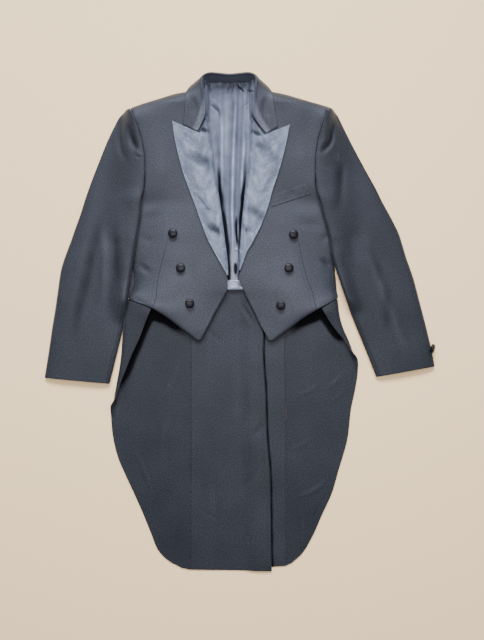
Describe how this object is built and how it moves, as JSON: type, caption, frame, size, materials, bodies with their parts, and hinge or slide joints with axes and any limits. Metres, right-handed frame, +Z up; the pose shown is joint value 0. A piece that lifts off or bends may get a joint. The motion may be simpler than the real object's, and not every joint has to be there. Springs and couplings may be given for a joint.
{
  "type": "evening tailcoat, laid flat",
  "caption": "Evening tailcoat laid flat on its back, front up and open, with satin peaked lapels, covered buttons and long tails.",
  "frame": {"origin": "middle of the coat's box, on the surface that it lies on", "axes": "+Y up the coat to the collar, +X to the wearer's left, +Z up from the surface"},
  "size_m": [0.8558, 1.082, 0.0459],
  "materials": {
    "wool": "matt close-woven wool",
    "satin": "soft satin",
    "lining": "thin shiny satin",
    "button": "dark cloth over a domed mould"
  },
  "bodies": {
    "root": {"back": "wool", "tail_right": "wool", "tail_left": "wool", "skirt_right": "wool", "skirt_left": "wool", "front_right": "wool", "front_left": "wool", "top_sleeve_right": "wool", "top_sleeve_left": "wool", "under_sleeve_right": "wool", "under_sleeve_left": "wool", "collar": "wool", "breast_welt": "wool", "lapel_right": "satin", "lapel_left": "satin", "lining": "lining", "button_right_1": "button", "button_right_2": "button", "button_right_3": "button", "button_left_1": "button", "button_left_2": "button", "button_left_3": "button", "cuff_button_left": "button"}
  },
  "joints": []
}
